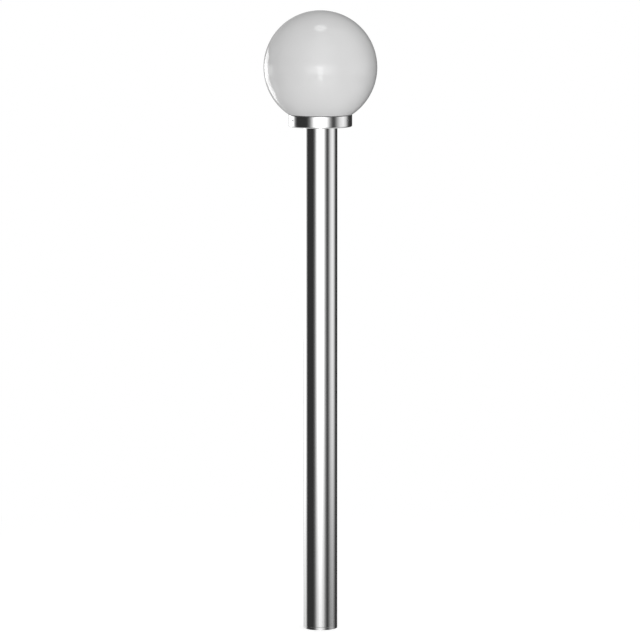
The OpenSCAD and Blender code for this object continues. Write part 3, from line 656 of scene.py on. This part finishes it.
def aim_angles(direction):
    """Rotation that turns a lamp's -Z axis to a direction, with its X axis level."""
    x, y, z = direction / np.linalg.norm(direction)
    return (math.acos(-z), 0, math.atan2(-x, y))


# Floor disc, in metres
FLOOR_RADIUS = 4.0
FLOOR_DEPTH = 0.01
FLOOR_TURNS = 96
# Its tone under the lamps, and what is added to bring it near the white of the backdrop
FLOOR_COLOR = 0.8
FLOOR_GLOW = 0.62
# Between these distances from the post, in metres, it fades into the white
FADE_FROM = 0.35
FADE_TO = 1.3


def make_floor():
    """Pale round floor that keeps the post's soft shadow and melts into the white backdrop further out."""
    profile = np.array([[0, 0], [FLOOR_RADIUS, 0], [FLOOR_RADIUS, -FLOOR_DEPTH], [0, -FLOOR_DEPTH]])
    floor = turned("floor", profile, FLOOR_TURNS, closed=False)
    material = bpy.data.materials.new("pale floor")
    material.use_nodes = True
    tree = material.node_tree
    tree.nodes.remove(tree.nodes["Principled BSDF"])
    matt = tree.nodes.new("ShaderNodeBsdfDiffuse")
    matt.inputs["Color"].default_value = (FLOOR_COLOR, FLOOR_COLOR, FLOOR_COLOR, 1)
    path = tree.nodes.new("ShaderNodeLightPath")
    direct = math_node(tree, "MAXIMUM", path.outputs["Is Camera Ray"], path.outputs["Is Transmission Ray"])
    shown = math_node(tree, "MAXIMUM", direct, path.outputs["Is Glossy Ray"])
    near = tree.nodes.new("ShaderNodeEmission")
    tree.links.new(math_node(tree, "MULTIPLY", shown, FLOOR_GLOW), near.inputs["Strength"])
    lit = tree.nodes.new("ShaderNodeAddShader")
    tree.links.new(matt.outputs[0], lit.inputs[0])
    tree.links.new(near.outputs[0], lit.inputs[1])
    white = tree.nodes.new("ShaderNodeEmission")
    place = tree.nodes.new("ShaderNodeTexCoord").outputs["Object"]
    reach = tree.nodes.new("ShaderNodeVectorMath")
    reach.operation = "LENGTH"
    tree.links.new(place, reach.inputs[0])
    fade = tree.nodes.new("ShaderNodeMapRange")
    fade.interpolation_type = "SMOOTHSTEP"
    tree.links.new(reach.outputs["Value"], fade.inputs["Value"])
    fade.inputs["From Min"].default_value = FADE_FROM
    fade.inputs["From Max"].default_value = FADE_TO
    mixed = tree.nodes.new("ShaderNodeMixShader")
    tree.links.new(math_node(tree, "MULTIPLY", fade.outputs[0], shown), mixed.inputs[0])
    tree.links.new(lit.outputs[0], mixed.inputs[1])
    tree.links.new(white.outputs[0], mixed.inputs[2])
    tree.links.new(mixed.outputs[0], tree.nodes["Material Output"].inputs["Surface"])
    dress(floor, material)
    floor.visible_glossy = False


make_world()
make_floor()
soft_lamp("front", (-0.45, -6.0, 1.7), (0, 0, 0.8), (1.6, 1.6), 157)
soft_lamp("right", (5.0, -1.5, 1.4), (0, 0, 0.8), (1.8, 1.8), 31)
soft_lamp("overhead", (0.0, 0.3, 4.0), (0, 0, 0.6), (1.2, 1.2), 17)
soft_lamp("bounce", (0.0, -1.5, 0.15), (0, 0, 1.0), (1.2, 0.3), 1.2)
soft_lamp("window on the globe", (0.005, -1.3, 0.78), (0.005, 0, 0.78), (0.21, 0.68), 1.09, glossy=True)
soft_lamp("crescent on the globe", (-0.829, 1.003, 0.77), (-0.1, 0, 0.77), (0.48, 0.81), 2.3, glossy=True)


# Camera at the photograph's angle, fitted to the globe, the collar and the two ends of the pole: its place in
# metres, its pitch below the level in degrees, and its focal length in pixels of a 640 by 640 picture
CAMERA_DISTANCE = 7.315
CAMERA_HEIGHT = 1.452
CAMERA_PITCH = 7.009
CAMERA_X = -0.0007
FOCAL_PIXELS = 4163.3
FRAME_PIXELS = 640
SENSOR = 36.0

camera_data = bpy.data.cameras.new("camera")
camera_data.sensor_width = SENSOR
camera_data.lens = FOCAL_PIXELS / FRAME_PIXELS * SENSOR
camera = bpy.data.objects.new("camera", camera_data)
bpy.context.scene.collection.objects.link(camera)
camera.location = (CAMERA_X, -CAMERA_DISTANCE, CAMERA_HEIGHT)
camera.rotation_euler = (math.radians(90 - CAMERA_PITCH), 0, 0)
bpy.context.scene.camera = camera
bpy.context.scene.view_settings.view_transform = "Standard"

bpy.context.view_layer.update()
